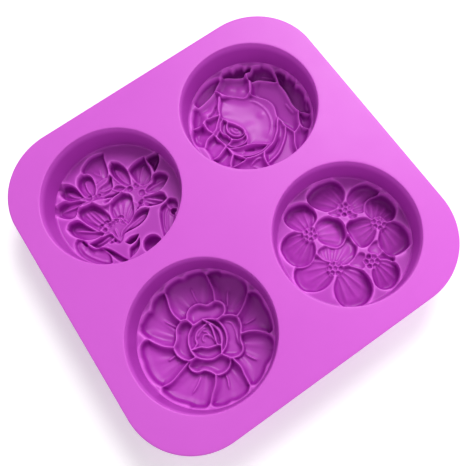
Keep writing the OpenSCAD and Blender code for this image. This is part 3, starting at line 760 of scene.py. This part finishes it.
def cup_floor(name, depth, x, y):
    """A cup's floor: the flower, a fillet up to the wall, and a tapered side down to a rounded flat foot."""
    middle = cup_middle(name)
    r = np.hypot(x, y)
    inward = np.clip(r - (FLOOR_R - FLOOR_FILLET), 0, FLOOR_FILLET)
    rise = FLOOR_FILLET - np.sqrt(FLOOR_FILLET**2 - inward**2)
    n = depth.shape[0]
    z = FLOOR_TOP - depth + rise
    verts = np.column_stack([x.ravel() + middle[0], y.ravel() + middle[1], z.ravel()]).tolist()
    faces = [(j * n + i, j * n + i + 1, (j + 1) * n + i + 1, (j + 1) * n + i)
             for j in range(n - 1) for i in range(n - 1)]
    side = n - 1
    rim = list(range(side)) + [j * n + side for j in range(side)]
    rim += [side * n + side - i for i in range(side)] + [(side - j) * n for j in range(side)]
    angles = np.arctan2(y.ravel()[rim], x.ravel()[rim])
    top = FLOOR_TOP + FLOOR_FILLET
    profile = [(cavity_r(z) + WALL_T, z) for z in (top, FLOOR_TOP, SIDE_BEND_Z)]
    foot_r = cavity_r(0) + WALL_T - FOOT_ROUND
    profile += [(foot_r + FOOT_ROUND * c, FOOT_ROUND - FOOT_ROUND * s) for s, c in quarter(4)]
    count = len(rim)
    starts = []
    for radius, z in profile:
        starts.append(len(verts))
        verts += circle(middle, radius, z, angles)
    first = starts[0]
    faces += [(rim[(k + 1) % count], rim[k], first + k, first + (k + 1) % count) for k in range(count)]
    faces += band_faces(starts, count)
    faces.append(tuple(starts[-1] + k for k in reversed(range(count))))
    rings = [rim, range(first, first + count)]
    # the side takes the wall's painted shade; the flower is painted darker in hollows as shade and paler on
    # ridges as highlight, partly thin silicone
    thin = np.full(len(verts), WALL_SHADED)
    thin[:n * n] = thinness(depth).ravel()
    return new_piece(name + "_floor_moulding", verts, faces, thin, rings)


# height over which a wall turns paler up to the deck
PALE_BAND = 3.0


def cup_wall(name, count=384, inner_rings=9, outer_rings=8):
    """A cup's wall: a tapered tube that flares out where it meets the deck's underside."""
    low = FLOOR_TOP + FLOOR_FILLET
    inner = [(cavity_r(z), z) for z in np.linspace(low, DECK_UNDER, inner_rings)]
    outer = [(cavity_r(z) + WALL_T, z) for z in np.linspace(low, DECK_UNDER - DECK_FILLET, outer_rings)]
    for s, c in quarter(5)[1:]:
        z = DECK_UNDER - DECK_FILLET * (1 - s)
        outer.append((cavity_r(z) + WALL_T + DECK_FILLET * (1 - c), z))
    profile = inner + outer[::-1]
    verts, starts = [], []
    for radius, z in profile:
        starts.append(len(verts))
        verts += circle(cup_middle(name), radius, z, turns(count))
    ends = [0, len(inner) - 1, len(inner), len(profile) - 1]
    heights = np.array(verts)[:, 2]
    # painted shade: the wall darker than the deck inside the cup, turning to the deck's paleness over the top
    # PALE_BAND
    thin = WALL_SHADED + (DECK_THIN_AND_LIT - WALL_SHADED) * ease((heights - (DECK_UNDER - PALE_BAND)) / PALE_BAND)
    return new_piece(name + "_wall_moulding", verts, band_faces([*starts, starts[0]], count), thin,
                     [range(starts[e], starts[e] + count) for e in ends])


HALVINGS = 48


def deck_reach(cx, cy, angles, inset):
    """How far a ray from a cup's middle goes before it leaves its quarter of the deck, drawn in by inset."""
    half, r = DECK_HALF - inset, DECK_CORNER_R - inset
    dx, dy = np.cos(angles), np.sin(angles)
    low, high = np.zeros(len(angles)), np.full(len(angles), 4 * DECK_HALF)
    for _ in range(HALVINGS):
        mid = (low + high) / 2
        x, y = cx + mid * dx, cy + mid * dy
        past = np.hypot(np.maximum(x - (half - r), 0), np.maximum(y - (half - r), 0)) > r
        out = (x < 0) | (y < 0) | past
        low, high = np.where(out, low, mid), np.where(out, mid, high)
    return low


SLACK = 0.001


def deck(per_side=72, rings=14):
    """The deck: a sheet with rounded edges and a tapered, round-lipped mouth over each cup."""
    cx = cy = CUP_PITCH / 2
    inner = DECK_HALF - EDGE_ROUND
    corners = [atan2(-cy, inner - cx), atan2(inner - cy, inner - cx), atan2(inner - cy, -cx)]
    corners += [atan2(-cy, -cx) + 2 * pi, corners[0] + 2 * pi]
    sides = [np.linspace(a, b, per_side, endpoint=False) for a, b in zip(corners, corners[1:])]
    angles = np.concatenate(sides)
    count = len(angles)
    reach = deck_reach(cx, cy, angles, EDGE_ROUND)
    ox, oy = cx + reach * np.cos(angles), cy + reach * np.sin(angles)
    centre = DECK_HALF - DECK_CORNER_R
    nx, ny = np.maximum(ox - centre, 0), np.maximum(oy - centre, 0)
    size = np.hypot(nx, ny)
    outer = size > DECK_CORNER_R - EDGE_ROUND - SLACK
    nx, ny = [np.where(outer, part, 0) / np.maximum(size, 1) for part in (nx, ny)]

    def sheet(z, hole_r):
        """Flat rings from the mouth out to the quarter's border."""
        spread = [hole_r + (reach - hole_r) * (k / rings) for k in range(rings + 1)]
        return [[(cx + a, cy + b, z) for a, b in zip(d * np.cos(angles), d * np.sin(angles))] for d in spread]

    under_r = cavity_r(DECK_UNDER)
    lip = [circle((cx, cy), under_r, DECK_UNDER, angles)]
    for s, c in quarter(6):
        radius = cavity_r(DECK_TOP) + RIM_ROUND * (1 - c)
        lip.append(circle((cx, cy), radius, DECK_TOP - RIM_ROUND * (1 - s), angles))
    top = sheet(DECK_TOP, cavity_r(DECK_TOP) + RIM_ROUND)[1:]
    edge = [[(x + u * EDGE_ROUND * s, y + v * EDGE_ROUND * s, DECK_TOP - EDGE_ROUND * (1 - c))
             for x, y, u, v in zip(ox, oy, nx, ny)] for s, c in quarter(5)[1:]]
    edge += [[(x, y, DECK_TOP + DECK_UNDER - z) for x, y, z in ring] for ring in edge[::-1]]
    under = sheet(DECK_UNDER, under_r)[:0:-1]
    stack = lip + top + edge + under
    round_edge = range(len(lip) + len(top) - 1, len(lip) + len(top) + len(edge))
    verts, faces = [], []
    for mx, my in ((1, 1), (-1, 1), (-1, -1), (1, -1)):
        start = len(verts)
        verts += [(mx * x, my * y, z) for ring in stack for x, y, z in ring]
        for k in range(len(stack)):
            quads = ring_faces(start + k * count, start + (k + 1) % len(stack) * count, count)
            if k in round_edge:
                quads = [quad for j, quad in enumerate(quads) if outer[j] and outer[(j + 1) % count]]
            faces += quads
    # the deck painted paler than the cups: partly a thin sheet, partly painted light on the open top
    piece = new_piece("deck_moulding", verts, faces, np.full(len(verts), DECK_THIN_AND_LIT))
    weld(piece)
    return piece


TOUCHING = 1e-7
SHARP_FROM = 50


def weld(piece):
    """Joins the deck's quarters where they meet, and keeps its steep edges sharp."""
    bm = bmesh.new()
    bm.from_mesh(piece.data)
    bmesh.ops.remove_doubles(bm, verts=bm.verts, dist=TOUCHING)
    bmesh.ops.recalc_face_normals(bm, faces=bm.faces)
    bm.to_mesh(piece.data)
    bm.free()
    piece.data.set_sharp_from_angle(angle=radians(SHARP_FROM))


# ---- Silicone ----

class Socket:
    """One shader value, so that maths on it can be written as maths."""

    def __init__(self, tree, link):
        self.tree = tree
        self.link = link

    def maths(self, operation, *values):
        return self.tree.node("ShaderNodeMath", {"operation": operation}, dict(enumerate(values)))

    def __add__(self, other):
        return self.maths("ADD", self, other)

    def __mul__(self, other):
        return self.maths("MULTIPLY", self, other)

    def __rsub__(self, other):
        return self.maths("SUBTRACT", other, self)

    def __sub__(self, other):
        return self.maths("SUBTRACT", self, other)

    __radd__ = __add__
    __rmul__ = __mul__


class Finish:
    """A material under construction."""

    def __init__(self, name):
        self.material = bpy.data.materials.new(name)
        self.material.use_nodes = True
        self.nodes = self.material.node_tree.nodes
        self.links = self.material.node_tree.links
        self.nodes.clear()

    def node(self, kind, settings=None, inputs=None, output=0):
        """Adds a node, sets it up, feeds its sockets, and gives back one of its outputs."""
        made = self.nodes.new(kind)
        for key, value in (settings or {}).items():
            setattr(made, key, value)
        for key, value in (inputs or {}).items():
            if isinstance(value, Socket):
                self.links.new(value.link, made.inputs[key])
            else:
                made.inputs[key].default_value = value
        return Socket(self, made.outputs[output]) if made.outputs else None

    def mix(self, share, a, b):
        """Mixes two colours."""
        return self.node("ShaderNodeMix", {"data_type": "RGBA"}, {0: share, 6: a, 7: b}, 2)

    def noise(self, place, scale, detail=2.0):
        """Soft noise, finer with a larger scale."""
        return self.node("ShaderNodeTexNoise", None, {"Vector": place, "Scale": scale, "Detail": detail})


# the deep and pale ends of the silicone's colour, mixed by the painted paleness: partly thin silicone, partly
# painted shade and painted highlight
PALE_ORCHID = (0.80, 0.19, 0.80, 1)
DEEP_ORCHID = (0.33, 0.006, 0.35, 1)
CLOUDING = 0.08
SATIN = 0.30


def silicone():
    """Satin orchid silicone, faintly clouded, with the fine grain of a blasted steel tool. Its colour is
    mixed from deep to pale by the paleness stored on each vertex, which is partly thin silicone and partly
    painted shade and painted highlight.
    """
    finish = Finish("orchid_silicone")
    place = finish.node("ShaderNodeTexCoord", output=3)
    cloud = finish.noise(place, scale=28.0, detail=3.0)
    grain = finish.noise(place, scale=2600.0)
    sweep = finish.noise(place, scale=90.0)
    thin = finish.node("ShaderNodeAttribute", {"attribute_name": "thin"}, None, 2)
    # colour from deep to pale: partly thin silicone, partly painted shade and painted highlight
    colour = finish.mix(thin + CLOUDING * cloud - CLOUDING / 2, DEEP_ORCHID, PALE_ORCHID)
    roughness = SATIN + 0.10 * sweep + 0.06 * grain
    height = grain + 0.6 * sweep
    bump = finish.node("ShaderNodeBump", None, {"Strength": 0.25, "Distance": 0.00003, "Height": height})
    shader = finish.node("ShaderNodeBsdfPrincipled", None, {
        "Base Color": colour, "Roughness": roughness, "Normal": bump, "IOR": 1.41, "Specular IOR Level": 0.42,
    })
    finish.node("ShaderNodeOutputMaterial", None, {"Surface": shader})
    return finish.material


def table_paint():
    """Matt white table."""
    finish = Finish("matt_white_table")
    place = finish.node("ShaderNodeTexCoord", output=3)
    cloud = finish.noise(place, scale=6.0)
    colour = finish.mix(cloud, (0.90, 0.90, 0.90, 1), (0.93, 0.93, 0.93, 1))
    shader = finish.node("ShaderNodeBsdfPrincipled", None, {
        "Base Color": colour, "Roughness": 0.9, "Emission Color": (1, 1, 1, 1), "Emission Strength": 0.25,
    })
    finish.node("ShaderNodeOutputMaterial", None, {"Surface": shader})
    return finish.material


# ---- Stage: table, lights and camera ----

TABLE_GAP = 0.0002


def table(flat=2.0, bend=0.6, wall=1.4, count=96):
    """A round white table that sweeps up into a backdrop all round, in metres."""
    profile = [(flat + bend * s, bend * (1 - c)) for s, c in quarter(8)] + [(flat + bend, wall)]
    verts = [point for r, z in profile for point in circle((0, 0), r, z, turns(count))]
    faces = band_faces(range(0, len(verts), count), count)
    mesh = bpy.data.meshes.new("table")
    mesh.from_pydata(verts, [], [tuple(range(count))] + faces)
    mesh.shade_smooth()
    mesh.polygons[0].use_smooth = False
    mesh.materials.append(table_paint())
    top = new_object("table", mesh)
    top.location.z = -TABLE_GAP


def soft_box(name, azimuth, elevation, away, size, power):
    """A square area light that faces the mould, placed by two angles in degrees and a distance in metres."""
    light = bpy.data.lights.new(name, "AREA")
    light.size = size
    light.energy = power
    lamp = new_object(name, light)
    turn, lift = radians(azimuth), radians(elevation)
    flat = away * cos(lift)
    spot = Vector((flat * cos(turn), flat * sin(turn), away * sin(lift)))
    lamp.location = spot
    lamp.rotation_euler = (-spot).to_track_quat("-Z", "Y").to_euler()


WORLD_LIGHT = 0.31


def lights():
    soft_box("key_light", azimuth=38, elevation=53, away=1.6, size=0.7, power=14.8)
    soft_box("corner_light", azimuth=-45, elevation=35, away=0.3, size=0.15, power=0.11)
    world = bpy.data.worlds.new("studio")
    world.use_nodes = True
    background = world.node_tree.nodes["Background"].inputs
    background["Color"].default_value = (1, 1, 1, 1)
    background["Strength"].default_value = WORLD_LIGHT
    scene.world = world
    scene.view_settings.view_transform = "Standard"
    scene.view_settings.look = "Medium High Contrast"


CAMERA_FROM_DECK = (-22.68, -85.68, 271.62)
CAMERA_RIGHT = (0.82224, -0.56606, -0.05913)
CAMERA_UP = (0.55414, 0.77254, 0.31003)
CAMERA_BACK = (-0.12981, -0.28768, 0.94889)
LENS_MM = 49.0
SHIFT = (-0.0507, -0.0708)


def camera():
    """Steep view from the front, turned so that the deck stands on one corner."""
    view = bpy.data.cameras.new("camera")
    view.lens = LENS_MM
    view.shift_x, view.shift_y = SHIFT
    holder = new_object("camera", view)
    spot = Vector(CAMERA_FROM_DECK) + Vector((0, 0, DECK_TOP))
    turn = Matrix((CAMERA_RIGHT, CAMERA_UP, CAMERA_BACK)).transposed().to_4x4()
    holder.matrix_world = Matrix.Translation(spot * MM) @ turn
    scene.camera = holder


# ---- Everything in place ----

camera()
lights()
table()
rubber = silicone()


def place(piece, node):
    """Gives a finished piece its material, hangs it under the root body, and hides the CAD node it stands in
    for.
    """
    piece.data.materials.append(rubber)
    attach(piece, "root")
    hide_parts(node)


place(deck(), "deck")
FLOWERS = {"lily": lilies, "rose": rose, "blossom": blossoms, "camellia": camellia}
grid = Relief()
for cup in CUPS:
    place(cup_wall(cup), cup + "_cup_wall")
    place(cup_floor(cup, FLOWERS[cup](), grid.floor_x, grid.floor_y), cup + "_floor")
